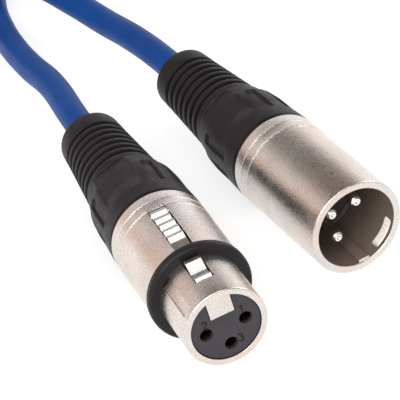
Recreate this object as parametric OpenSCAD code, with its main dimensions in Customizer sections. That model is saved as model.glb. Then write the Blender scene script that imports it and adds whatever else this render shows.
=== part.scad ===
// Microphone cable with a female and a male three-contact cable connector, and its spare length coiled.
// Each connector is drawn with its axis along Z, its mating face at z = 0 and its cable end at +Z.
// The latch side is +Y there. The two connectors are then laid on the ground plane z = 0.

/* [Shells] */
// Outer diameter of both shells
shell_d = 19; // [18.8:0.1:19.4]
// Length of the male shell in front of its bushing
male_shell_l = 29.1; // [28:0.1:31]
// Length of the female barrel between its sealing ring and its bushing
female_barrel_l = 19.3; // [19:0.1:21]
// Bore of the male mouth
mouth_d = 16.1; // [16:0.05:16.2]
// Depth of the male mouth, down to the contact carrier
mouth_depth = 13.8; // [13:0.1:15]
// Outer diameter of the female nose
nose_d = 15.7; // [15.6:0.05:15.8]
// Length of the female nose in front of its sealing ring
nose_l = 12; // [11.5:0.1:13]
// Outer diameter of the rubber sealing ring
ring_d = 19.8; // [19.6:0.1:20.2]
// Width of the rubber sealing ring
ring_w = 1.8; // [1.6:0.1:2]

/* [Contacts] */
// Diameter of a pin contact
pin_d = 2.38; // [2.36:0.01:2.4]
// Radius of the circle that the three contacts stand on
contact_circle_r = 3.81; // [3.8:0.01:3.9]
// Distance from the male mouth's rim down to the tips of the pins
pin_depth = 3.2; // [3:0.1:4]
// Bore of a socket contact
socket_d = 2.42; // [2.42:0.01:2.46]
// Outer diameter of a socket contact
socket_outer_d = 3.2; // [3.1:0.05:3.2]

/* [Latch] */
// Width of the latch lever
latch_w = 3.3; // [3.1:0.1:3.4]
// Number of ridges on the thumb pad
latch_ridges = 4; // [3:1:5]
// Diameter of the latch pivot pin
latch_pin_d = 1.2; // [1.1:0.05:1.3]

/* [Strain relief] */
// Visible length of the screwed bushing
bushing_l = 17.2; // [17:0.1:18]
// Diameter of the bushing at its cable end
bushing_end_d = 16; // [15.8:0.1:16.4]
// Turn of the female bushing, which sets where its flats face
female_bushing_turn = 72.5; // [0:2.5:120]
// Turn of the male bushing, which sets where its flats face
male_bushing_turn = -70; // [-120:2.5:0]
// Visible length of the flexible boot
boot_l = 20.9; // [20:0.1:22]
// Diameter of the boot where it leaves the bushing
boot_d = 15.4; // [15:0.1:15.6]
// Diameter of the boot at its cable end
boot_tail_d = 12.2; // [12:0.1:12.6]
// Number of grooves round the boot
boot_grooves = 7; // [5:1:8]
// Pitch of the thread between a shell and its bushing
thread_pitch = 1; // [1:0.25:1]

/* [Cable] */
// Diameter of the cable's jacket
cable_d = 5.8; // [5.6:0.1:6]
// Diameter of each insulated core
core_d = 1.5; // [1.4:0.1:1.6]
// Turns of the coil in one flat layer
coil_columns = 4; // [2:1:4]
// Layers in the coil
coil_layers = 4; // [2:1:4]
// Radius of the coil's outermost turn
coil_r = 38.5; // [38:0.5:40]

/* [Layout] */
// Turn of the female connector about the vertical
female_yaw = -7.5; // [-9:0.5:-6]
// Turn of the female connector about its own axis
female_roll = -15.5; // [-18:0.5:-12]
// Turn of the male connector about its own axis
male_roll = 120; // [115:1:125]

/* [Hidden] */
$fn = 64;

// Places of the two mating faces and of the coil, from the middle of the two connectors.
male_x = 18.1;
male_y = -24.1;
female_x = -19.4;
female_y = -42.1;
coil_x = 8;
coil_y = 163;

// Small gaps between parts
fit = 0.05;
gap = 0.1;
cut = 0.2;

// Shells
shell_r = shell_d / 2;
mouth_r = mouth_d / 2;
nose_r = nose_d / 2;
ring_r = ring_d / 2;
lip_r = shell_r + 0.15;
edge = 0.4;
neck_r = 8.4;
neck_l = 7.4;
bore_r = 7.6;
nose_bore_r = 6.53;
nose_bore_l = 15;
web_r = 7.2;
web_l = 2.2;
band_1 = 2.5;
band_2 = 4.85;
band_w = 0.35;
band_depth = 0.22;
thread_depth = 0.3;
female_shell_l = nose_l + ring_w + female_barrel_l;

// Contacts and carriers
pin_r = pin_d / 2;
carrier_end = 22.5;
collar_r = 1.75;
collar_l = 0.8;
cup_r = 1.4;
cup_bore_r = 0.95;
cup_end = 28;
flange_r = bore_r - gap;
insert_r = nose_bore_r - fit;
insert_front = 0.25;
hole_r = 1.25;
socket_start = 1;
female_angle = [180, 0, 270];
male_angle = [0, 180, 270];
pin_body_r = 1.5;

// Key and latch
key_angle = 45;
block_w = 4.6;
block_low = 2.7;
block_l = 4;
keyway_w = 2.2;
keyway_depth = 0.35;
rib_w = 2.3;
rib_h = 0.55;
window_w = 5.8;
window_start = 0.9;
window_l = 2;
latch_front = 5.1;
latch_arm_low = 6.5;
latch_arm_top = 7.4;
latch_hook_top = 8.4;
latch_low = 7.6;
latch_top = 9.3;
latch_pin_y = 8.3;
latch_pin_z = 27.4;
latch_pin_l = 6.8;
latch_end = 28.6;
channel_floor = 4.6;
channel_w = latch_w + 0.5;
ridge_start = 15.8;
ridge_pitch = 2.35;
ridge_depth = 0.55;

// Strain relief, measured from the end of the shell
thread_bore_r = neck_r + gap;
thread_l = 8.5;
chuck_start = 4.4;
chuck_end = 13.2;
chuck_r = 6.6;
chuck_tip_r = 5.2;
cone_start = 10;
flange_start = 14.1;
flange_end = 15.3;
sleeve_r = 5.85;
boot_flange_r = 6.7;
cable_r = cable_d / 2;
cable_bore_r = cable_r + 0.3;
jacket_start = 4;
pad_start = 4.5;
pad_end = 13.3;
pad_low_r = 9.3;
pad_top_r = 8.85;
pad_h = 0.4;
pad_half = 7.8;
pocket_w = 2.1;
pocket_lean = 15.5;
pocket_depth = 0.45;
flat_depth = 0.5;
flat_lean = 8.5;

// The lead of each connector: a list of places along its middle, from the jacket's end to the coil.
female_axis_z = ring_r;
male_axis_z = shell_r;
lead_sides = 10;
coil_pitch = cable_d + 0.1;
coil_inner_r = coil_r - (coil_columns - 1) * coil_pitch;
coil_top = cable_r + (coil_layers - 1) * coil_pitch;

// Points in the connector's own frame, turned into the common frame
function female_point(z) = [
  female_x - z * sin(female_yaw),
  female_y + z * cos(female_yaw),
  female_axis_z
];
function male_point(z) = [male_x, male_y + z, male_axis_z];

female_jacket_z = female_shell_l + jacket_start;
male_jacket_z = male_shell_l + jacket_start;
female_tail_z = female_shell_l + bushing_l + boot_l;
male_tail_z = male_shell_l + bushing_l + boot_l;
straight_l = 10;

female_route = concat(
  [for (i = [0:3]) female_point(female_jacket_z + i * (female_tail_z + straight_l - female_jacket_z) / 3)],
  [
    [-6, 54, 8.9], [-4.8, 66, 7], [-2.7, 79, 5], [0, 91, 3.6], [3.4, 102, 3],
    [8.2, 112, 3], [15.3, 120.6, 3], [25.5, 127.9, 3], [36, 136.5, 3]
  ]
);
male_route = concat(
  [for (i = [0:3]) male_point(male_jacket_z + i * (male_tail_z + straight_l - male_jacket_z) / 3)],
  [
    [17.9, 64.5, 8.7], [17.5, 76, 7.2], [16, 87, 7], [12.8, 97.5, 7.9],
    [7.4, 107, 9.8], [0.5, 115.5, 14.8], [-7.5, 123.8, 19.8], [-20, 136.5, 20]
  ]
);

// Smooth curve through a list of places (Catmull-Rom)
function spline(p, i, t) =
  let (a = p[max(i - 1, 0)], b = p[i], c = p[i + 1], d = p[min(i + 2, len(p) - 1)])
  0.5 * (2 * b + (c - a) * t + (2 * a - 5 * b + 4 * c - d) * t * t + (3 * b - a - 3 * c + d) * t * t * t);
function smooth(p) = concat(
  [for (i = [0:len(p) - 2]) for (t = [0:0.5:0.5]) spline(p, i, t)],
  [p[len(p) - 1]]
);
function unit(v) = v / norm(v);
function heading(p, i) = unit(p[min(i + 1, len(p) - 1)] - p[max(i - 1, 0)]);
function ring_at(c, dir, r) =
  let (side = unit(cross(dir, [0, 0, 1])), up = cross(side, dir))
  [for (k = [0:lead_sides - 1])
    let (a = 360 * (k + 0.5) / lead_sides) c + r * (side * cos(a) + up * sin(a))];

module tube(path, r) {
  n = lead_sides;
  m = len(path);
  points = [for (i = [0:m - 1]) each ring_at(path[i], heading(path, i), r)];
  walls = [for (i = [0:m - 2]) for (k = [0:n - 1])
    [i * n + k, i * n + (k + 1) % n, (i + 1) * n + (k + 1) % n, (i + 1) * n + k]];
  ends = [[for (k = [n - 1:-1:0]) k], [for (k = [0:n - 1]) (m - 1) * n + k]];
  polyhedron(points, concat(walls, ends), convexity = 6);
}

// A part turned from an outline of [radius, z] points
module turned(outline) {
  rotate_extrude() polygon(outline);
}

// Stands its children on one contact's axis
module on_contact(angle) {
  rotate([0, 0, angle]) translate([contact_circle_r, 0, 0]) children();
}

module lay_female() {
  translate([female_x, female_y, female_axis_z])
    rotate([0, 0, female_yaw])
      rotate([90, 0, 180])
        rotate([0, 0, female_roll]) children();
}

module lay_male() {
  translate([male_x, male_y, male_axis_z])
    rotate([90, 0, 180])
      rotate([0, 0, male_roll]) children();
}

// Bands and thread that both shells share, from the end of the shell's barrel
module shell_bands(end) {
  for (band = [band_1, band_2])
    turned([
      [shell_r - band_depth, end - band - band_w / 2],
      [shell_r + 1, end - band - band_w / 2 - cut],
      [shell_r + 1, end - band + band_w / 2 + cut],
      [shell_r - band_depth, end - band + band_w / 2]
    ]);
}

module shell_thread(end) {
  for (z = [end + thread_pitch:thread_pitch:end + neck_l - thread_pitch / 2])
    turned([
      [neck_r - thread_depth, z],
      [neck_r + 1, z - thread_pitch / 2],
      [neck_r + 1, z + thread_pitch / 2]
    ]);
}

module female_shell_body() {
  end = female_shell_l;
  turned([
    [nose_bore_r, 0],
    [nose_r - edge, 0],
    [nose_r, edge],
    [nose_r, nose_l + ring_w],
    [lip_r, nose_l + ring_w],
    [lip_r, nose_l + ring_w + edge],
    [shell_r, nose_l + ring_w + edge],
    [shell_r, end],
    [neck_r, end],
    [neck_r, end + neck_l],
    [bore_r, end + neck_l],
    [bore_r, nose_bore_l],
    [nose_bore_r, nose_bore_l]
  ]);
}

// The block that closes the nose in front of the latch
module key_block() {
  intersection() {
    translate([-block_w / 2, block_low, 0]) cube([block_w, nose_r, block_l]);
    cylinder(r = nose_r - edge, h = block_l);
  }
}

module latch_slot() {
  w = latch_w + 2 * gap;
  translate([-w / 2, latch_arm_low - 1, latch_front - gap])
    cube([w, shell_r, nose_l + ring_w + 1 - latch_front]);
  translate([-w / 2, latch_arm_low - 1, nose_l + ring_w])
    cube([w, shell_r, latch_end + 2 * gap - nose_l - ring_w]);
}

module keyway() {
  rotate([0, 0, key_angle - 90])
    translate([-keyway_w / 2, nose_r - keyway_depth, 1.4])
      cube([keyway_w, 1, nose_l - 1.4]);
}

module female_shell() {
  color("silver")
    lay_female() {
      difference() {
        union() {
          female_shell_body();
          key_block();
        }
        latch_slot();
        keyway();
        shell_bands(female_shell_l);
        shell_thread(female_shell_l);
        translate([-latch_pin_l / 2, latch_pin_y, latch_pin_z])
          rotate([0, 90, 0]) cylinder(d = latch_pin_d, h = latch_pin_l);
      }
    }
}

module female_seal_ring() {
  color([0.06, 0.06, 0.06])
    lay_female()
      turned([
        [nose_r, nose_l],
        [ring_r - 0.5, nose_l],
        [ring_r, nose_l + 0.5],
        [ring_r, nose_l + ring_w - 0.3],
        [ring_r - 0.3, nose_l + ring_w],
        [nose_r, nose_l + ring_w]
      ]);
}

module female_insert() {
  color([0.31, 0.29, 0.31])
    lay_female()
      difference() {
        turned([
          [0, insert_front],
          [insert_r, insert_front],
          [insert_r, nose_bore_l + gap],
          [flange_r, nose_bore_l + gap],
          [flange_r, carrier_end],
          [0, carrier_end]
        ]);
        for (angle = female_angle)
          on_contact(angle) {
            cylinder(r = hole_r, h = carrier_end + 1);
            translate([0, 0, socket_start])
              cylinder(d = socket_outer_d + 2 * fit, h = carrier_end);
          }
        translate([-block_w / 2 - gap, block_low - gap, 0])
          cube([block_w + 2 * gap, nose_r, block_l + gap]);
        translate([-channel_w / 2, channel_floor, block_l])
          cube([channel_w, shell_r, carrier_end]);
        tag_groove();
      }
}

// Groove for the ground strip, opposite the latch and beside contact 3
module tag_groove() {
  rotate([0, 0, -45])
    translate([flange_r - 0.5, -1.3, nose_bore_l])
      cube([1, 2.6, carrier_end]);
}

module ground_tag() {
  rotate([0, 0, -45]) {
    translate([flange_r - 0.4, -1.1, nose_bore_l + 1])
      cube([0.3, 2.2, carrier_end - nose_bore_l + 1.5]);
    translate([flange_r - 2.6, -1.1, carrier_end + 2.5])
      cube([2.5, 2.2, 0.3]);
  }
}

module solder_cup() {
  difference() {
    union() {
      translate([0, 0, carrier_end]) cylinder(r = collar_r, h = collar_l);
      translate([0, 0, carrier_end]) cylinder(r = cup_r, h = cup_end - carrier_end);
    }
    translate([0, 0, cup_end - 4]) cylinder(r = cup_bore_r, h = 5);
    translate([0, -cup_r - 1, cup_end - 2.6]) cube([cup_r + 2, 2 * cup_r + 2, 3]);
  }
}

module socket_contact() {
  difference() {
    union() {
      translate([0, 0, socket_start]) cylinder(d = socket_outer_d, h = carrier_end - socket_start);
      solder_cup();
    }
    translate([0, 0, 0]) cylinder(d = socket_d, h = 13);
    translate([-0.2, -socket_outer_d, 0]) cube([0.4, 2 * socket_outer_d, 9]);
  }
}

module pin_contact() {
  tip = pin_r * 0.8;
  turned([
    [0, pin_depth + tip * 0.4],
    [pin_r * 0.35, pin_depth],
    [pin_r * 0.6, pin_depth],
    [pin_r * 0.88, pin_depth + tip * 0.35],
    [pin_r, pin_depth + tip],
    [pin_r, mouth_depth],
    [pin_body_r, mouth_depth],
    [pin_body_r, carrier_end],
    [0, carrier_end]
  ]);
  solder_cup();
}

module female_contact(number) {
  color([0.75, 0.68, 0.5]) lay_female() on_contact(female_angle[number - 1]) socket_contact();
}

module male_contact(number) {
  color([0.82, 0.8, 0.76]) lay_male() on_contact(male_angle[number - 1]) pin_contact();
}

module female_contact_1() { female_contact(1); }
module female_contact_2() { female_contact(2); }
module female_contact_3() { female_contact(3); }
module male_contact_1() { male_contact(1); }
module male_contact_2() { male_contact(2); }
module male_contact_3() { male_contact(3); }

// Side outline of the latch lever as [z, y] points, from the nose to the pivot
function latch_outline() = concat(
  [
    [latch_front, latch_arm_low],
    [latch_front, latch_arm_top],
    [latch_front + 0.7, nose_r - 0.1],
    [latch_front + 1.2, nose_r - 0.15],
    [latch_front + 1.7, latch_arm_top - 0.2],
    [latch_front + 2.9, latch_arm_top - 0.1],
    [nose_l - 2.4, latch_hook_top],
    [nose_l - 0.7, latch_hook_top],
    [nose_l - 0.5, latch_arm_top],
    [nose_l + ring_w + 0.4, latch_arm_top],
    [ridge_start - 0.3, latch_top - 0.1]
  ],
  [for (i = [0:latch_ridges - 1]) each [
    [ridge_start + i * ridge_pitch, latch_top],
    [ridge_start + (i + 0.62) * ridge_pitch, latch_top - 0.1],
    [ridge_start + (i + 0.75) * ridge_pitch, latch_top - ridge_depth]
  ]],
  [
    [ridge_start + latch_ridges * ridge_pitch, latch_top - 0.1],
    [latch_end, latch_top - 0.2],
    [latch_end, latch_low],
    [nose_l + ring_w + 1.2, latch_low],
    [nose_l + ring_w - 0.2, latch_arm_low]
  ]
);

module latch_lever() {
  color([0.85, 0.84, 0.82])
    lay_female()
      difference() {
        rotate([0, -90, 0])
          translate([0, 0, -latch_w / 2])
            linear_extrude(latch_w) polygon(latch_outline());
        translate([-latch_w, latch_pin_y, latch_pin_z])
          rotate([0, 90, 0]) cylinder(d = latch_pin_d + 2 * fit, h = 2 * latch_w);
      }
}

module latch_pin() {
  color("gray")
    lay_female()
      translate([-latch_pin_l / 2, latch_pin_y, latch_pin_z])
        rotate([0, 90, 0]) cylinder(d = latch_pin_d, h = latch_pin_l);
}

module latch_spring() {
  w = 2.4;
  t = 0.25;
  low = channel_floor + fit;
  high = latch_low - fit;
  color("lightgray")
    lay_female()
      rotate([0, -90, 0])
        translate([0, 0, -w / 2])
          linear_extrude(w)
            polygon([
              [22.3, low], [22.3, low + t], [20.3, low + t], [16.2, high], [15.4, high],
              [15.4, high - t], [16, high - t], [20.1, low]
            ]);
}

module male_shell_body() {
  end = male_shell_l;
  turned([
    [mouth_r + edge * 0.8, 0],
    [shell_r - edge, 0],
    [shell_r, edge],
    [shell_r, end],
    [neck_r, end],
    [neck_r, end + neck_l],
    [bore_r, end + neck_l],
    [bore_r, mouth_depth + web_l],
    [web_r, mouth_depth + web_l],
    [web_r, mouth_depth],
    [mouth_r, mouth_depth],
    [mouth_r, edge]
  ]);
}

// Rib inside the mouth that enters the mating connector's keyway
module key_rib() {
  rotate([0, 0, key_angle])
    translate([-rib_w / 2, mouth_r - rib_h, 0.8])
      cube([rib_w, rib_h + 0.5, mouth_depth - 0.8 + cut]);
}

module male_shell() {
  color("silver")
    lay_male() {
      difference() {
        union() {
          male_shell_body();
          key_rib();
        }
        translate([-window_w / 2, mouth_r - 2, window_start])
          cube([window_w, shell_r, window_l]);
        shell_bands(male_shell_l);
        shell_thread(male_shell_l);
      }
    }
}

module male_insert() {
  color([0.16, 0.14, 0.13])
    lay_male()
      difference() {
        turned([
          [0, mouth_depth],
          [web_r - gap, mouth_depth],
          [web_r - gap, mouth_depth + web_l + gap],
          [flange_r, mouth_depth + web_l + gap],
          [flange_r, carrier_end],
          [0, carrier_end]
        ]);
        for (angle = male_angle)
          on_contact(angle)
            translate([0, 0, mouth_depth - 1]) cylinder(r = pin_body_r + fit, h = carrier_end);
        tag_groove();
      }
}

module female_ground_tag() {
  color([0.8, 0.78, 0.7]) lay_female() ground_tag();
}

module male_ground_tag() {
  color([0.8, 0.78, 0.7]) lay_male() ground_tag();
}

// Three insulated cores that spread from the jacket's end to the solder cups
module cores(jacket_z) {
  close_r = 1.2;
  far_z = jacket_z - 0.15;
  near_z = cup_end + 0.15;
  lean = atan2(contact_circle_r - close_r, far_z - near_z);
  length = norm([contact_circle_r - close_r, far_z - near_z]);
  for (angle = male_angle)
    rotate([0, 0, angle])
      translate([contact_circle_r, 0, near_z])
        rotate([0, -lean, 0]) translate([0, 0, 0.2]) cylinder(d = core_d, h = length - 0.4);
}

module female_cores() {
  color("white") lay_female() cores(female_jacket_z);
}

module male_cores() {
  color("white") lay_male() cores(male_jacket_z);
}

// Slotted collet that the bushing's cone closes on the jacket
module chuck(end) {
  translate([0, 0, end])
    difference() {
      turned([
        [cable_bore_r, chuck_start],
        [chuck_r, chuck_start],
        [chuck_r, cone_start - gap],
        [chuck_tip_r, chuck_end],
        [cable_bore_r, chuck_end]
      ]);
      for (a = [0, 90])
        rotate([0, 0, a])
          translate([-0.5, -chuck_r - 1, chuck_start + 3])
            cube([1, 2 * chuck_r + 2, chuck_end]);
    }
}

module female_chuck() {
  color([0.85, 0.85, 0.8]) lay_female() chuck(female_shell_l);
}

module male_chuck() {
  color([0.85, 0.85, 0.8]) lay_male() chuck(male_shell_l);
}

module bushing(end, turn) {
  rear = bushing_l;
  end_r = bushing_end_d / 2;
  translate([0, 0, end])
    rotate([0, 0, turn])
      difference() {
        union() {
          turned([
            [thread_bore_r, gap],
            [shell_r - 0.15, gap],
            [shell_r, 0.8],
            [pad_low_r, pad_start],
            [pad_top_r - pad_h, pad_end],
            [end_r, rear - 0.6],
            [end_r - 0.4, rear],
            [sleeve_r + gap, rear],
            [sleeve_r + gap, flange_end + gap],
            [boot_flange_r + gap, flange_end + gap],
            [boot_flange_r + gap, flange_start - gap],
            [chuck_tip_r + 2 * gap, flange_start - gap],
            [chuck_tip_r + 2 * gap, chuck_end],
            [chuck_r + 3 * gap, cone_start],
            [chuck_r + 3 * gap, thread_l],
            [thread_bore_r, thread_l]
          ]);
          for (side = [60, 180, 300])
            rotate([0, 0, side]) grip_pad();
        }
        for (side = [60, 180, 300]) {
          rotate([0, 0, side - 60]) badge_flat();
          for (lean = [-pocket_lean, pocket_lean])
            rotate([0, 0, side + lean]) grip_pocket();
        }
      }
}

// Raised pad between two flats, with a step towards the boot
module grip_pad() {
  intersection() {
    turned([
      [thread_bore_r + gap, pad_start],
      [pad_low_r, pad_start],
      [pad_top_r, pad_end],
      [pad_top_r - 1, pad_end],
      [thread_bore_r + gap, thread_l + gap]
    ]);
    linear_extrude(bushing_l) polygon([[0, 0], [12, -pad_half], [12, pad_half]]);
  }
}

// Narrow pocket in a pad
module grip_pocket() {
  translate([pad_low_r - pocket_depth, -pocket_w / 2, pad_start])
    rotate([0, -2.6, 0])
      cube([2, pocket_w, pad_end - pad_start - 0.8]);
}

// Flat between two pads, deepest at the cable end
module badge_flat() {
  translate([bushing_end_d / 2 - flat_depth, -shell_r, bushing_l])
    rotate([0, -flat_lean, 0])
      translate([0, 0, -bushing_l]) cube([4, 2 * shell_r, bushing_l + 2]);
}

module female_bushing() {
  color([0.2, 0.19, 0.2]) lay_female() bushing(female_shell_l, female_bushing_turn);
}

module male_bushing() {
  color([0.2, 0.19, 0.2]) lay_male() bushing(male_shell_l, male_bushing_turn);
}

// Flexible sleeve with rounded grooves, tapering to the cable
module boot(end) {
  start = bushing_l;
  stop = bushing_l + boot_l;
  collar = 3.4;
  groove_w = 1;
  groove_depth = 0.7;
  step = (boot_l - collar - 1.6) / boot_grooves;
  slope = (boot_d - boot_tail_d) / 2 / boot_l;
  translate([0, 0, end])
    difference() {
      turned([
        [cable_bore_r, flange_start],
        [boot_flange_r, flange_start],
        [boot_flange_r, flange_end],
        [sleeve_r, flange_end],
        [sleeve_r, start],
        [boot_d / 2, start],
        [boot_tail_d / 2, stop - 0.8],
        [boot_tail_d / 2 - 0.8, stop],
        [cable_bore_r, stop]
      ]);
      for (i = [0:boot_grooves - 1]) {
        z = start + 1.6 + i * step;
        r = boot_d / 2 - slope * (z - start);
        turned([
          [r - groove_depth, z],
          [r + 1, z - 0.1],
          [r + 1, z + groove_w + 0.1],
          [r - groove_depth, z + groove_w]
        ]);
      }
    }
}

module female_boot() {
  color([0.2, 0.19, 0.2]) lay_female() boot(female_shell_l);
}

module male_boot() {
  color([0.2, 0.19, 0.2]) lay_male() boot(male_shell_l);
}

module female_lead() {
  color("royalblue") tube(smooth(female_route), cable_r);
}

module male_lead() {
  color("royalblue") tube(smooth(male_route), cable_r);
}

// Outer shape of the wound turns
module cable_coil() {
  color("royalblue")
    translate([coil_x, coil_y, 0])
      turned([
        [coil_inner_r - cable_r, 0],
        [coil_r + cable_r, 0],
        [coil_r + cable_r, coil_top + cable_r],
        [coil_inner_r - cable_r, coil_top + cable_r]
      ]);
}

female_shell();
female_seal_ring();
female_insert();
female_contact_1();
female_contact_2();
female_contact_3();
latch_lever();
latch_pin();
latch_spring();
female_ground_tag();
female_cores();
female_chuck();
female_bushing();
female_boot();
male_shell();
male_insert();
male_contact_1();
male_contact_2();
male_contact_3();
male_ground_tag();
male_cores();
male_chuck();
male_bushing();
male_boot();
female_lead();
male_lead();
cable_coil();
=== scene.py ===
import math

import bmesh
import bpy
from mathutils import Matrix, Vector


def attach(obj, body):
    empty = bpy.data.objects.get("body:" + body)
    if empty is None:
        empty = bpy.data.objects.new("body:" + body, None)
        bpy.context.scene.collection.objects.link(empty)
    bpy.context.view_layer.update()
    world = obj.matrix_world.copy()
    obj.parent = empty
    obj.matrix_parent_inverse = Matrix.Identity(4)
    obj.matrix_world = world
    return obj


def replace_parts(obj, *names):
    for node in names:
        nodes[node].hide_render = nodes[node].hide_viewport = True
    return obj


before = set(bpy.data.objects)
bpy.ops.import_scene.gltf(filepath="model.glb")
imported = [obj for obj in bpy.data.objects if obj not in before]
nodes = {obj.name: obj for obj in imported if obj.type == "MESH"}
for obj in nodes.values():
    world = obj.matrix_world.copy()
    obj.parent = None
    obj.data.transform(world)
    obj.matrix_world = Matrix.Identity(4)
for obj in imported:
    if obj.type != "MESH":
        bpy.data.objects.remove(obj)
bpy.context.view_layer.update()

MM = 0.001
scene = bpy.context.scene

# ---------------------------------------------------------------- connectors' places in mm, as in the CAD
FEMALE_MOUTH, FEMALE_YAW, FEMALE_ROLL = (-19.4, -42.1, 9.9), -7.5, -15.5
MALE_MOUTH, MALE_YAW, MALE_ROLL = (18.1, -24.1, 9.5), 0.0, 120.0
FEMALE_END, MALE_END = 33.1, 29.1
BUSHING_L, BOOT_L = 17.2, 20.9
CABLE_R = 2.9


def laid(mouth, yaw, roll):
    """The matrix that lays a connector drawn along Z, latch side +Y, in its place."""
    turn = Matrix.Rotation(math.radians(yaw + 180), 4, "Z") @ Matrix.Rotation(math.radians(90), 4, "X")
    return Matrix.Translation(Vector(mouth) * MM) @ turn @ Matrix.Rotation(math.radians(roll), 4, "Z")


FEMALE = laid(FEMALE_MOUTH, FEMALE_YAW, FEMALE_ROLL)
MALE = laid(MALE_MOUTH, MALE_YAW, MALE_ROLL)

# ---------------------------------------------------------------- camera
CAMERA_AT = Vector((-228.42, -417.68, 290.69)) * MM
CAMERA_YAW, CAMERA_PITCH, CAMERA_ROLL = 28.5, -30.68, -0.42
FOCAL = 265.0

camera = bpy.data.objects.new("camera", bpy.data.cameras.new("camera"))
scene.collection.objects.link(camera)
yaw, pitch = math.radians(CAMERA_YAW), math.radians(CAMERA_PITCH)
forward = Vector((math.sin(yaw) * math.cos(pitch), math.cos(yaw) * math.cos(pitch), math.sin(pitch)))
level = forward.cross(Vector((0, 0, 1))).normalized()
upright = level.cross(forward)
roll = math.radians(CAMERA_ROLL)
right = level * math.cos(roll) + upright * math.sin(roll)
up = upright * math.cos(roll) - level * math.sin(roll)
camera.matrix_world = Matrix.Translation(CAMERA_AT) @ Matrix((right, up, -forward)).transposed().to_4x4()
camera.data.lens = FOCAL
camera.data.sensor_width = 36.0
camera.data.clip_start = 0.01
camera.data.clip_end = 20.0
scene.camera = camera


# ---------------------------------------------------------------- materials
MIX_FACTOR, MIX_A, MIX_B, MIX_RESULT = 0, 6, 7, 2  # a Mix node's sockets when it mixes colours
NOISE_LOW, NOISE_HIGH = 0.25, 0.75  # most of a noise texture's values lie between these


def filled(ramp, stops):
    """The colour that a ramp node gives with these (position, colour) stops."""
    elements = ramp.color_ramp.elements
    while len(elements) < len(stops):
        elements.new(0.5)
    for element, (position, colour) in zip(elements, stops):
        element.position = position
        element.color = (*colour, 1.0)
    return ramp.outputs["Color"]


class Paint:
    """A node material round one Principled shader."""

    def __init__(self, name, **constants):
        self.material = bpy.data.materials.new(name)
        self.material.use_nodes = True
        self.tree = self.material.node_tree
        self.shader = self.tree.nodes["Principled BSDF"]
        for socket, value in constants.items():
            self.shader.inputs[socket.replace("_", " ")].default_value = value
        self.place = self.tree.nodes.new("ShaderNodeTexCoord").outputs["Object"]

    def node(self, kind, **inputs):
        made = self.tree.nodes.new(kind)
        for socket, value in inputs.items():
            target = made.inputs[socket.replace("_", " ")]
            if hasattr(value, "is_output"):
                self.tree.links.new(value, target)
            else:
                target.default_value = value
        return made

    def noise(self, scale, detail=3.0, roughness=0.6):
        made = self.node("ShaderNodeTexNoise", Vector=self.place, Scale=scale, Detail=detail,
                         Roughness=roughness)
        return made.outputs["Fac"]

    def ramp(self, value, *stops):
        return filled(self.node("ShaderNodeValToRGB", Fac=value), stops)

    def span(self, value, low, high):
        """A noise value spread between low and high."""
        made = self.node("ShaderNodeMapRange", Value=value, From_Min=NOISE_LOW, From_Max=NOISE_HIGH,
                         To_Min=low, To_Max=high)
        return made.outputs["Result"]

    def multiplied(self, share, a, b):
        """Colour a, multiplied by colour b to the extent of share."""
        made = self.tree.nodes.new("ShaderNodeMix")
        made.data_type = "RGBA"
        made.blend_type = "MULTIPLY"
        made.inputs[MIX_FACTOR].default_value = share
        self.tree.links.new(a, made.inputs[MIX_A])
        self.tree.links.new(b, made.inputs[MIX_B])
        return made.outputs[MIX_RESULT]

    def bump(self, *layers):
        """Each layer is (height, strength, distance in mm)."""
        normal = None
        for height, strength, distance in layers:
            made = self.node("ShaderNodeBump", Height=height, Strength=strength, Distance=distance * MM)
            if normal is not None:
                self.tree.links.new(normal, made.inputs["Normal"])
            normal = made.outputs["Normal"]
        self.link(normal, "Normal")

    def link(self, value, socket):
        self.tree.links.new(value, self.shader.inputs[socket])


def nickel():
    p = Paint("satin_nickel", Metallic=1.0)
    grain = p.noise(3300, 2.0, 0.7)
    cloud = p.noise(130, 3.0, 0.55)
    tone = p.ramp(cloud, (0.3, (0.70, 0.645, 0.61)), (0.7, (0.80, 0.75, 0.715)))
    speck = p.ramp(grain, (0.36, (0.58, 0.55, 0.53)), (0.56, (1.0, 1.0, 1.0)))
    # random warm patches: partly the nickel's own tint, partly a painted warm reflection
    warm_tint_and_reflection = p.ramp(p.noise(55, 2.0), (0.44, (1.0, 1.0, 1.0)), (0.62, (1.0, 0.92, 0.875)))
    p.link(p.multiplied(0.5, p.multiplied(1.0, tone, warm_tint_and_reflection), speck), "Base Color")
    p.link(p.span(p.noise(900, 3.0), 0.22, 0.32), "Roughness")
    p.bump((grain, 1.0, 0.05), (p.noise(900, 3.0), 0.2, 0.05))
    return p.material


def bright_nickel():
    p = Paint("bright_nickel", Metallic=1.0)
    cloud = p.noise(400, 3.0)
    p.link(p.ramp(cloud, (0.3, (0.78, 0.75, 0.71)), (0.7, (0.90, 0.88, 0.85))), "Base Color")
    p.link(p.span(p.noise(1500, 2.0), 0.22, 0.34), "Roughness")
    p.bump((p.noise(2600, 2.0), 0.10, 0.012))
    return p.material


def moulded(name, dark, light, rough=(0.38, 0.55), grain=0.18, gloss=0.5):
    p = Paint(name, Specular_IOR_Level=gloss)
    p.link(p.ramp(p.noise(160, 4.0), (0.3, dark), (0.7, light)), "Base Color")
    p.link(p.span(p.noise(600, 3.0), *rough), "Roughness")
    p.bump((p.noise(3200, 2.0), grain, 0.03), (p.noise(420, 3.0), 0.12, 0.06))
    return p.material


def jacket():
    p = Paint("blue_jacket", Specular_IOR_Level=0.11)
    tone = p.ramp(p.noise(90, 3.0), (0.3, (0.002, 0.045, 0.205)), (0.7, (0.004, 0.055, 0.245)))
    p.link(tone, "Base Color")
    p.link(p.span(p.noise(300, 3.0), 0.36, 0.5), "Roughness")
    p.bump((p.noise(2400, 2.0), 0.10, 0.03), (p.noise(160, 2.0), 0.10, 0.12))
    return p.material


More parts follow.
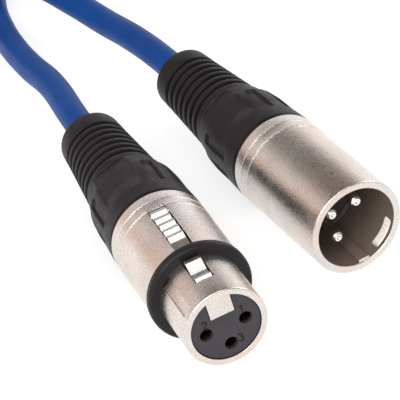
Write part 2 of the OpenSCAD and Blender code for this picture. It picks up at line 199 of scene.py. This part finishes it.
def metal(name, dark, light, rough):
    p = Paint(name, Metallic=1.0)
    p.link(p.ramp(p.noise(350, 3.0), (0.3, dark), (0.7, light)), "Base Color")
    p.link(p.span(p.noise(1300, 2.0), *rough), "Roughness")
    p.bump((p.noise(2600, 2.0), 0.1, 0.02))
    return p.material


SHELL = nickel()
# painted shade: a dark brown stand-in for the shaded metal wall inside the male mouth
MOUTH_PAINTED_SHADE = moulded("mouth_painted_shade", (0.115, 0.085, 0.070), (0.155, 0.118, 0.098), (0.42, 0.6))
LATCH = bright_nickel()
CHARCOAL = moulded("charcoal_bushing", (0.0075, 0.0055, 0.007), (0.0125, 0.0095, 0.0115), gloss=0.22)
BOOT = moulded("charcoal_boot", (0.006, 0.0045, 0.0055), (0.010, 0.0078, 0.0092), (0.42, 0.58), gloss=0.22)
RUBBER = moulded("seal_rubber", (0.005, 0.0045, 0.0048), (0.009, 0.008, 0.0085), (0.40, 0.55), 0.1, 0.3)
CARRIER = moulded("grey_carrier", (0.030, 0.026, 0.031), (0.040, 0.035, 0.041), (0.45, 0.6), gloss=0.35)
FIGURE = moulded("raised_figures", (0.006, 0.005, 0.006), (0.010, 0.009, 0.010), (0.5, 0.65), gloss=0.2)
DARK_CARRIER = moulded("dark_carrier", (0.060, 0.046, 0.038), (0.080, 0.062, 0.052), (0.45, 0.6))
NYLON = moulded("natural_nylon", (0.52, 0.50, 0.44), (0.62, 0.60, 0.54), (0.4, 0.55))
CORE = moulded("core_insulation", (0.66, 0.64, 0.60), (0.74, 0.73, 0.69), (0.45, 0.6))
JACKET = jacket()
STEEL = metal("pivot_steel", (0.48, 0.48, 0.49), (0.6, 0.6, 0.6), (0.25, 0.4))
SPRING = metal("spring_steel", (0.30, 0.31, 0.34), (0.45, 0.45, 0.47), (0.25, 0.4))
TAG = metal("tinned_tag", (0.62, 0.58, 0.47), (0.74, 0.70, 0.6), (0.3, 0.42))
SOCKET = metal("plated_socket", (0.16, 0.13, 0.085), (0.24, 0.20, 0.13), (0.30, 0.44))
PIN = metal("silver_pin", (0.74, 0.72, 0.68), (0.88, 0.86, 0.82), (0.14, 0.26))


# ---------------------------------------------------------------- shapes
def finished(name, mesh, place, paint, body, angle=32.0):
    """Puts a mesh drawn in a connector's frame, in metres, in its place as a piece that rides on a body."""
    mesh.materials.clear()
    mesh.materials.append(paint)
    for face in mesh.polygons:
        face.use_smooth = True
    mesh.set_sharp_from_angle(angle=math.radians(angle))
    piece = bpy.data.objects.new(name, mesh)
    scene.collection.objects.link(piece)
    piece.matrix_world = place
    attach(piece, body)
    return piece


def mesh_of(bm, name):
    bmesh.ops.recalc_face_normals(bm, faces=bm.faces)
    mesh = bpy.data.meshes.new(name)
    bm.to_mesh(mesh)
    bm.free()
    return mesh


def rounded(outline, steps=4):
    """An outline with rounded corners: each point is (radius, z) or (radius, z, fillet), in mm."""
    out = []
    for i, point in enumerate(outline):
        corner = Vector(point[:2])
        if len(point) < 3:
            out.append(corner)
            continue
        before = Vector(outline[i - 1][:2]) - corner
        after = Vector(outline[(i + 1) % len(outline)][:2]) - corner
        half = before.angle(after) / 2
        reach = min(point[2] / math.tan(half), 0.48 * before.length, 0.48 * after.length)
        start, end = corner + before.normalized() * reach, corner + after.normalized() * reach
        for k in range(steps + 1):
            t = k / steps
            out.append(start * (1 - t) ** 2 + corner * 2 * t * (1 - t) + end * t * t)
    return out


def sampled(outline, step):
    """The closed outline with no stretch longer than step."""
    out = []
    for i, a in enumerate(outline):
        b = outline[(i + 1) % len(outline)]
        count = max(1, math.ceil((b - a).length / step))
        out += [a.lerp(b, k / count) for k in range(count)]
    return out


def turned(name, outline, segments=160, relief=None):
    """A closed outline of (radius, z) in mm, clear of the axis, turned round Z.

    relief(angle, point) moves a point outwards, in mm.
    """
    bm = bmesh.new()
    rings = []
    for point in outline:
        ring = []
        for k in range(segments):
            a = 2 * math.pi * k / segments
            r = point[0] + (relief(a, point) if relief else 0)
            ring.append(bm.verts.new((r * math.cos(a) * MM, r * math.sin(a) * MM, point[1] * MM)))
        rings.append(ring)
    for a, b in zip(rings, rings[1:] + rings[:1]):
        for k in range(segments):
            n = (k + 1) % segments
            bm.faces.new((a[k], b[k], b[n], a[n]))
    return mesh_of(bm, name)


def block(low, high, soft, turn=0.0):
    """A box between two corners in mm, turned about Z, its edges rounded by soft."""
    bm = bmesh.new()
    bmesh.ops.create_cube(bm, size=1)
    low, high = Vector(low), Vector(high)
    for vertex in bm.verts:
        vertex.co = Vector(((low + high) / 2 + Vector(c * s for c, s in zip(vertex.co, high - low))) * MM)
    bmesh.ops.bevel(bm, geom=bm.edges[:], offset=soft * MM, segments=3, profile=0.5, affect="EDGES")
    bmesh.ops.rotate(bm, verts=bm.verts, matrix=Matrix.Rotation(math.radians(turn), 3, "Z"))
    return mesh_of(bm, "block")


def joined(mesh, *steps):
    """The mesh after each (operation, tool mesh) of steps."""
    work = bpy.data.objects.new("work", mesh)
    scene.collection.objects.link(work)
    for operation, tool_mesh in steps:
        tool = bpy.data.objects.new("tool", tool_mesh)
        scene.collection.objects.link(tool)
        change = work.modifiers.new("join", "BOOLEAN")
        change.operation, change.solver, change.object = operation, "EXACT", tool
        graph = bpy.context.evaluated_depsgraph_get()
        result = bpy.data.meshes.new_from_object(work.evaluated_get(graph))
        work.modifiers.clear()
        work.data = result
        bpy.data.objects.remove(tool)
    mesh = work.data
    bpy.data.objects.remove(work)
    return mesh


def profile(name, outline, width, soft):
    """A side outline of (z, y) points in mm, drawn out to a width along X, with softened edges."""
    bm = bmesh.new()
    sides = [[bm.verts.new((x * MM, y * MM, z * MM)) for z, y in outline] for x in (-width / 2, width / 2)]
    bm.faces.new(sides[0])
    bm.faces.new(sides[1][::-1])
    for k in range(len(outline)):
        n = (k + 1) % len(outline)
        bm.faces.new((sides[0][k], sides[0][n], sides[1][n], sides[1][k]))
    bmesh.ops.recalc_face_normals(bm, faces=bm.faces)
    bmesh.ops.bevel(bm, geom=bm.edges[:], offset=soft * MM, segments=2, profile=0.5, affect="EDGES",
                    clamp_overlap=True)
    return mesh_of(bm, name)


def smoothstep(x, low, high):
    t = min(1.0, max(0.0, (x - low) / (high - low)))
    return t * t * (3 - 2 * t)


# ---------------------------------------------------------------- the cable, one cord for both connectors
def on_female(s):
    a = math.radians(FEMALE_YAW)
    return (FEMALE_MOUTH[0] - s * math.sin(a), FEMALE_MOUTH[1] + s * math.cos(a), FEMALE_MOUTH[2])


def on_male(s):
    return (MALE_MOUTH[0], MALE_MOUTH[1] + s, MALE_MOUTH[2])


FEMALE_TAIL, MALE_TAIL = FEMALE_END + BUSHING_L + BOOT_L, MALE_END + BUSHING_L + BOOT_L
HIDDEN = 27.0
FEMALE_LAY = [(-6, 54, 8.9), (-4.8, 66, 7), (-2.7, 79, 5), (0, 91, 3.6), (3.4, 102, 3), (8.2, 112, 3),
              (15.3, 120.6, 3), (25.5, 127.9, 3)]
MALE_LAY = [(17.9, 64.5, 8.7), (17.5, 76, 7.2), (16, 87, 7), (12.8, 97.5, 7.9), (7.4, 107, 9.8),
            (0.5, 115.5, 14.8), (-7.5, 123.8, 19.8)]
COIL_AT, COIL_R, COIL_PITCH = (8, 163), 38.5, 5.9
COLUMNS, LAYERS = 4, 4
COIL_START, COIL_TURNS, TURN_POINTS = -43.4, 14 + 266.8 / 360, 18
SHIFT_WIDTH, SHIFT_LEAD, FIRST_SHIFT = 0.5, 0.13, 0.8


def coil_point(u):
    """A place on the winding after u turns: flat layers, wound inwards and outwards by turns."""
    def shifted(centre):
        x = min(1.0, max(0.0, (u - centre) / SHIFT_WIDTH + 0.5))
        return (1 - math.cos(math.pi * x)) / 2
    inward, layer = 0.0, 0.0
    for n in range(LAYERS):
        first = FIRST_SHIFT + n * (COLUMNS - 2 * SHIFT_LEAD)
        sign = 1 if n % 2 == 0 else -1
        inward += sign * sum(shifted(first + j) for j in range(COLUMNS - 1))
        if n < LAYERS - 1:
            layer += shifted(first + COLUMNS - 1 - SHIFT_LEAD)
    a = math.radians(COIL_START + 360 * u)
    r = COIL_R - COIL_PITCH * inward
    return (COIL_AT[0] + r * math.cos(a), COIL_AT[1] + r * math.sin(a), CABLE_R + COIL_PITCH * layer)


coil_steps = round(COIL_TURNS * TURN_POINTS)
route = [on_female(FEMALE_TAIL + d) for d in (-HIDDEN, -13, 0, 10)] + FEMALE_LAY
route += [coil_point(COIL_TURNS * k / coil_steps) for k in range(coil_steps + 1)]
route += MALE_LAY[::-1] + [on_male(MALE_TAIL + d) for d in (10, 0, -13, -HIDDEN)]

line = bpy.data.curves.new("cable", "CURVE")
line.dimensions = "3D"
line.bevel_depth = CABLE_R * MM
line.bevel_resolution = 6
line.resolution_u = 5
line.use_fill_caps = True
spline = line.splines.new("BEZIER")
spline.bezier_points.add(len(route) - 1)
for point, place in zip(spline.bezier_points, route):
    point.co = Vector(place) * MM
    point.handle_left_type = point.handle_right_type = "AUTO"
cable = bpy.data.objects.new("cable", line)
scene.collection.objects.link(cable)
line.materials.append(JACKET)
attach(cable, "root")
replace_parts(cable, "female_lead", "male_lead", "cable_coil")
cable_length = sum((Vector(b) - Vector(a)).length for a, b in zip(route, route[1:])) * MM
print("cable length", round(cable_length, 3))

# ---------------------------------------------------------------- the shells
NOSE_R, NOSE_L, RING_W, SHELL_R = 7.85, 12.0, 1.8, 9.5
MOUTH_R, MOUTH_DEPTH = 8.05, 13.8
NOSE_BORE, NECK_R, NECK_L, BORE_R = 6.53, 8.4, 7.4, 7.6
BANDS, BAND_RIM, BAND_DEPTH = (4.85, 2.5), 0.05, 0.18
THREAD_TURNS, THREAD_DEPTH, THREAD_HALF = 6, 0.3, 0.3


def banded(end):
    """Outline points of the two engraved bands near a barrel's end, from the mouth side."""
    points = []
    rim, bed = SHELL_R + BAND_RIM, SHELL_R - BAND_DEPTH
    for band in BANDS:
        z = end - band
        points += [(SHELL_R, z - 0.26, 0.06), (rim, z - 0.17, 0.04), (bed, z - 0.05, 0.06),
                   (bed, z + 0.05, 0.06), (rim, z + 0.17, 0.04), (SHELL_R, z + 0.26, 0.06)]
    return points


def threaded(end):
    """Outline points of the neck's thread, from the barrel's end."""
    points = [(SHELL_R, end, 0.25), (NECK_R, end, 0.1)]
    for k in range(1, THREAD_TURNS + 1):
        z = end + k
        points += [(NECK_R, z - THREAD_HALF), (NECK_R - THREAD_DEPTH, z), (NECK_R, z + THREAD_HALF)]
    return points + [(NECK_R, end + NECK_L, 0.3), (BORE_R, end + NECK_L)]


female_outline = rounded([
    (NOSE_BORE + 0.09, 0, 0.12), (NOSE_R, 0, 0.4), (NOSE_R, NOSE_L + RING_W),
    (SHELL_R + 0.15, NOSE_L + RING_W, 0.12),
    (SHELL_R + 0.15, NOSE_L + RING_W + 0.4, 0.15), (SHELL_R, NOSE_L + RING_W + 0.55, 0.15),
    *banded(FEMALE_END), *threaded(FEMALE_END), (BORE_R, 15), (NOSE_BORE, 15)])
SLOT_W = 3.6
female_shell = joined(
    turned("female_barrel", female_outline, 192),
    ("UNION", block((-2.3, 2.7, 0.02), (2.3, 7.2, 4.0), soft=0.08)),
    ("DIFFERENCE", block((-SLOT_W / 2, 5.5, 5.0), (SLOT_W / 2, 12, 28.8), soft=0.12)),
    ("DIFFERENCE", block((-1.1, NOSE_R - 0.28, 1.4), (1.1, 9, 12.6), turn=-45, soft=0.05)),
)
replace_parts(finished("female_barrel", female_shell, FEMALE, SHELL, "root"), "female_shell")

male_outline = rounded([
    (MOUTH_R, 0, 0.3), (SHELL_R, 0, 0.4), *banded(MALE_END), *threaded(MALE_END),
    (BORE_R, MOUTH_DEPTH + 2.2), (7.2, MOUTH_DEPTH + 2.2), (7.2, MOUTH_DEPTH), (MOUTH_R, MOUTH_DEPTH, 0.3)])
male_shell = joined(
    turned("male_barrel", male_outline, 192),
    ("UNION", block((-1.15, MOUTH_R - 0.55, 0.3), (1.15, 8.6, 14.0), turn=45, soft=0.12)),
    ("DIFFERENCE", block((-2.9, 6.0, 0.9), (2.9, 12, 2.9), soft=0.45)),
)
male_barrel = finished("male_barrel", male_shell, MALE, SHELL, "root")
# the faces inside the male mouth get the painted shade in place of the nickel
male_barrel.data.materials.append(MOUTH_PAINTED_SHADE)
for face in male_barrel.data.polygons:
    middle = face.center / MM
    if math.hypot(middle.x, middle.y) < MOUTH_R + 0.02 and 0.45 < middle.z < MOUTH_DEPTH + 0.1:
        face.material_index = 1
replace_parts(male_barrel, "male_shell")

# ---------------------------------------------------------------- the sealing ring
ring = turned("sealing_ring", rounded([
    (NOSE_R, NOSE_L), (9.55, NOSE_L, 0.35), (9.9, NOSE_L + 0.5, 0.45), (9.9, NOSE_L + RING_W, 0.35),
    (NOSE_R, NOSE_L + RING_W)], 5))
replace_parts(finished("sealing_ring", ring, FEMALE, RUBBER, "root"), "female_seal_ring")

# ---------------------------------------------------------------- the latch
RIDGE_AT, RIDGE_PITCH, RIDGES = 17.4, 2.15, 5
latch_outline = [(5.1, 6.5), (5.1, 7.2), (6.1, 7.8), (6.4, 7.8), (6.6, 7.1), (7.9, 7.05), (8.3, 7.2),
                 (10.4, 8.4), (11.3, 8.4), (11.5, 7.4), (13.0, 7.4), (17.1, 8.65)]
for k in range(RIDGES):
    z = RIDGE_AT + k * RIDGE_PITCH
    latch_outline += [(z, 8.65), (z + 1.1, 9.3), (z + 1.75, 9.3), (z + 1.95, 8.65)]
latch_outline += [(28.6, 8.6), (28.6, 7.6), (15.0, 7.6), (13.6, 6.5)]
latch = profile("latch_thumb_lever", latch_outline, 3.1, 0.05)
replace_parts(finished("latch_thumb_lever", latch, FEMALE, LATCH, "latch", 8), "latch_lever")

# ---------------------------------------------------------------- the contact numbers on the carrier's face
def stroke(bm, points, width, low, high):
    """A line through (x, y) points, drawn as a flat ribbon between two heights, all in mm."""
    points = [Vector(p) for p in points]
    rims = []
    for i, p in enumerate(points):
        along = (points[min(i + 1, len(points) - 1)] - points[max(i - 1, 0)]).normalized() * width / 2
        rims.append([p + Vector((-along.y, along.x)), p - Vector((-along.y, along.x))])
    rings = []
    for a, b in rims:
        corners = ((a, low), (b, low), (b, high), (a, high))
        rings.append([bm.verts.new((q.x * MM, q.y * MM, z * MM)) for q, z in corners])
    for a, b in zip(rings, rings[1:]):
        for k in range(4):
            bm.faces.new((a[k], b[k], b[(k + 1) % 4], a[(k + 1) % 4]))
    bm.faces.new(rings[0])
    bm.faces.new(rings[-1][::-1])


def arc(x, y, r, start, stop, count=8):
    angles = [math.radians(start + (stop - start) * k / count) for k in range(count + 1)]
    return [(x + r * math.cos(a), y + r * math.sin(a)) for a in angles]


# each figure's place on the face and its line, for 1, 2 and 3
FIGURES = (
    (3.6, 2.1, [(-0.3, 0.4), (0.02, 0.75), (0.02, -0.75)]),
    (-3.6, 2.1, arc(0, 0.33, 0.42, 165, -25) + [(-0.44, -0.72), (0.48, -0.72)]),
    (1.9, -3.5, arc(0, 0.37, 0.36, 150, -80) + arc(0, -0.35, 0.42, 85, -150)),
)
FIGURE_WIDTH, FIGURE_FOOT, FIGURE_TOP = 0.24, 0.19, 0.30
bm = bmesh.new()
for x, y, shape in FIGURES:
    stroke(bm, [(-(x + u), y + v) for u, v in shape], FIGURE_WIDTH, FIGURE_FOOT, FIGURE_TOP)
finished("contact_numbers", mesh_of(bm, "contact_numbers"), FEMALE, FIGURE, "root")

# ---------------------------------------------------------------- bushings and boots
# heights in mm from the shell's end, and half widths in degrees
PAD_START, PAD_END, PAD_HALF, PAD_HEIGHT = 4.5, 13.3, 33.0, 0.42
POCKET_LEAN, POCKET_HALF, POCKET_DEPTH = 15.5, 6.7, 0.48
FLAT_HALF, FLAT_RIM, FLAT_DISH = 26.0, 0.14, 0.34


def step_up(x, at, width):
    return smoothstep(x, at - width / 2, at + width / 2)


def bushing(name, end, turn, place, body, node):
    def relief(angle, point):
        z = point[1] - end
        if point[0] < 7.6 or z < 1:
            return 0.0
        side = (math.degrees(angle) - turn) % 120 - 60
        from_flat = 60 - abs(side)
        pad = step_up(z, PAD_START, 0.8) * (1 - step_up(z, PAD_END, 0.5))
        pad *= 1 - step_up(abs(side), PAD_HALF, 1.6)
        height = pad * PAD_HEIGHT * smoothstep(z, PAD_START, PAD_END - 2)
        pocket = step_up(z, PAD_START + 0.3, 0.35) * (1 - step_up(z, PAD_END - 0.9, 1.0))
        pocket *= 1 - step_up(abs(abs(side) - POCKET_LEAN), POCKET_HALF, 1.6)
        flat = smoothstep(z, 4.6, 8.5) * (1 - smoothstep(z, 16.3, 17.0))
        flat *= 1 - step_up(from_flat, FLAT_HALF, 1.6)
        dish = FLAT_RIM + FLAT_DISH * (1 - (from_flat / FLAT_HALF) ** 2)
        return height - POCKET_DEPTH * pocket - flat * dish
    outline = rounded([
        (8.5, end + 0.1), (9.35, end + 0.1, 0.2), (SHELL_R, end + 0.8, 0.5), (9.3, end + 4.5, 2.0),
        (8.45, end + 13.3, 3.0), (8.0, end + 16.7, 0.5), (7.7, end + BUSHING_L, 0.25),
        (5.95, end + BUSHING_L), (5.95, end + 15.4), (6.8, end + 15.4), (6.8, end + 14.0),
        (5.4, end + 14.0), (5.4, end + 13.2), (6.9, end + 10.0), (6.9, end + 8.5), (8.5, end + 8.5)])
    mesh = turned(name, sampled(outline, 0.22), 360, relief)
    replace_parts(finished(name, mesh, place, CHARCOAL, body, 40), node)


GROOVES, BOOT_R, TAIL_R, COLLAR = 7, 7.7, 6.1, 3.4


def boot(name, end, place, body, node):
    start, stop = end + BUSHING_L, end + BUSHING_L + BOOT_L
    slope = (BOOT_R - TAIL_R) / BOOT_L
    step = (BOOT_L - COLLAR - 1.6) / GROOVES
    points = [(3.2, end + 14.1), (6.7, end + 14.1, 0.2), (6.7, end + 15.3, 0.2), (5.85, end + 15.3),
              (5.85, start), (BOOT_R, start, 0.15)]
    for k in range(GROOVES):
        z = start + 1.5 + k * step
        r = BOOT_R - slope * (z - start)
        points += [(r, z, 0.25), (r - 0.75, z + 0.12, 0.2), (r - 0.8, z + 1.05, 0.2),
                   (r - 0.06, z + 1.2, 0.3)]
    points += [(TAIL_R + 0.1, stop, 0.7), (3.15, stop, 0.3)]
    mesh = turned(name, rounded(points), 144)
    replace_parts(finished(name, mesh, place, BOOT, body), node)


bushing("female_screw_bushing", FEMALE_END, 72.5, FEMALE, "female_cap", "female_bushing")
bushing("male_screw_bushing", MALE_END, -70.0, MALE, "male_cap", "male_bushing")
boot("female_ribbed_boot", FEMALE_END, FEMALE, "female_cap", "female_boot")
boot("male_ribbed_boot", MALE_END, MALE, "male_cap", "male_boot")

# ---------------------------------------------------------------- finishes of the CAD parts that stay
KEPT = {
    "female_insert": CARRIER, "male_insert": DARK_CARRIER, "latch_pin": STEEL, "latch_spring": SPRING,
    "female_ground_tag": TAG, "male_ground_tag": TAG, "female_cores": CORE, "male_cores": CORE,
    "female_chuck": NYLON, "male_chuck": NYLON,
}
for number in (1, 2, 3):
    KEPT[f"female_contact_{number}"] = SOCKET
    KEPT[f"male_contact_{number}"] = PIN
for name, paint in KEPT.items():
    nodes[name].data.materials.clear()
    nodes[name].data.materials.append(paint)

# ---------------------------------------------------------------- floor, light
FLOOR_HALF, FLOOR_Z = 6, -0.0002
floor_mesh = bpy.data.meshes.new("floor")
corners = [(x * FLOOR_HALF, y * FLOOR_HALF, 0) for x, y in ((-1, -1), (1, -1), (1, 1), (-1, 1))]
floor_mesh.from_pydata(corners, [], [(0, 1, 2, 3)])
floor = bpy.data.objects.new("floor", floor_mesh)
floor.location.z = FLOOR_Z
scene.collection.objects.link(floor)
white = Paint("pale_floor", Roughness=0.8, Base_Color=(0.42, 0.42, 0.42, 1.0), Emission_Strength=0.72,
              Emission_Color=(1.0, 1.0, 1.0, 1.0))
floor_mesh.materials.append(white.material)


def softbox(name, at, size, power):
    """A square area light, its size in metres and power in watts, aimed at the origin."""
    light = bpy.data.lights.new(name, "AREA")
    light.shape = "RECTANGLE"
    light.size = light.size_y = size
    light.energy = power
    lamp = bpy.data.objects.new(name, light)
    scene.collection.objects.link(lamp)
    lamp.location = at
    lamp.rotation_euler = (-Vector(at)).to_track_quat("-Z", "Y").to_euler()


softbox("key_light", (-0.9, -0.7, 0.8), 0.9, 13)
softbox("overhead_light", (-0.15, -0.42, 1.10), 0.65, 2.3)
softbox("fill_light", (1.0, 0.2, 0.9), 0.6, 4)

# the studio round the table: each wall is a ramp over the height of the direction
world = bpy.data.worlds.new("studio")
world.use_nodes = True
tree = world.node_tree
LEFT = [(0.0, (0.86, 0.60, 0.50)), (0.16, (0.82, 0.60, 0.51)), (0.32, (0.90, 0.82, 0.78)),
        (0.54, (0.88, 0.81, 0.78)), (0.64, (0.16, 0.148, 0.14))]
RIGHT = [(0.0, (1.2, 1.19, 1.18)), (0.50, (1.12, 1.10, 1.09)), (0.57, (0.62, 0.58, 0.55)),
         (0.63, (0.10, 0.09, 0.085)), (0.74, (0.14, 0.13, 0.12))]
FRONT = [(0.0, (0.95, 0.94, 0.93)), (0.5, (0.70, 0.68, 0.66)), (1.0, (0.40, 0.38, 0.37))]
axes = tree.nodes.new("ShaderNodeSeparateXYZ")
tree.links.new(tree.nodes.new("ShaderNodeTexCoord").outputs["Generated"], axes.inputs["Vector"])


def wall(bands):
    made = tree.nodes.new("ShaderNodeValToRGB")
    tree.links.new(axes.outputs["Z"], made.inputs["Fac"])
    return filled(made, bands)


def blended(axis, start, end, a, b):
    """Wall a below start and wall b above end, over one axis of the direction."""
    share = tree.nodes.new("ShaderNodeMapRange")
    share.interpolation_type = "SMOOTHSTEP"
    tree.links.new(axes.outputs[axis], share.inputs["Value"])
    share.inputs["From Min"].default_value = start
    share.inputs["From Max"].default_value = end
    made = tree.nodes.new("ShaderNodeMix")
    made.data_type = "RGBA"
    for index, value in ((MIX_FACTOR, share.outputs["Result"]), (MIX_A, a), (MIX_B, b)):
        tree.links.new(value, made.inputs[index])
    return made.outputs[MIX_RESULT]


sides = blended("X", -0.12, 0.22, wall(LEFT), wall(RIGHT))
tree.links.new(blended("Y", -0.2, 0.3, wall(FRONT), sides), tree.nodes["Background"].inputs["Color"])
tree.nodes["Background"].inputs["Strength"].default_value = 1.0
scene.world = world
scene.view_settings.view_transform = "Standard"
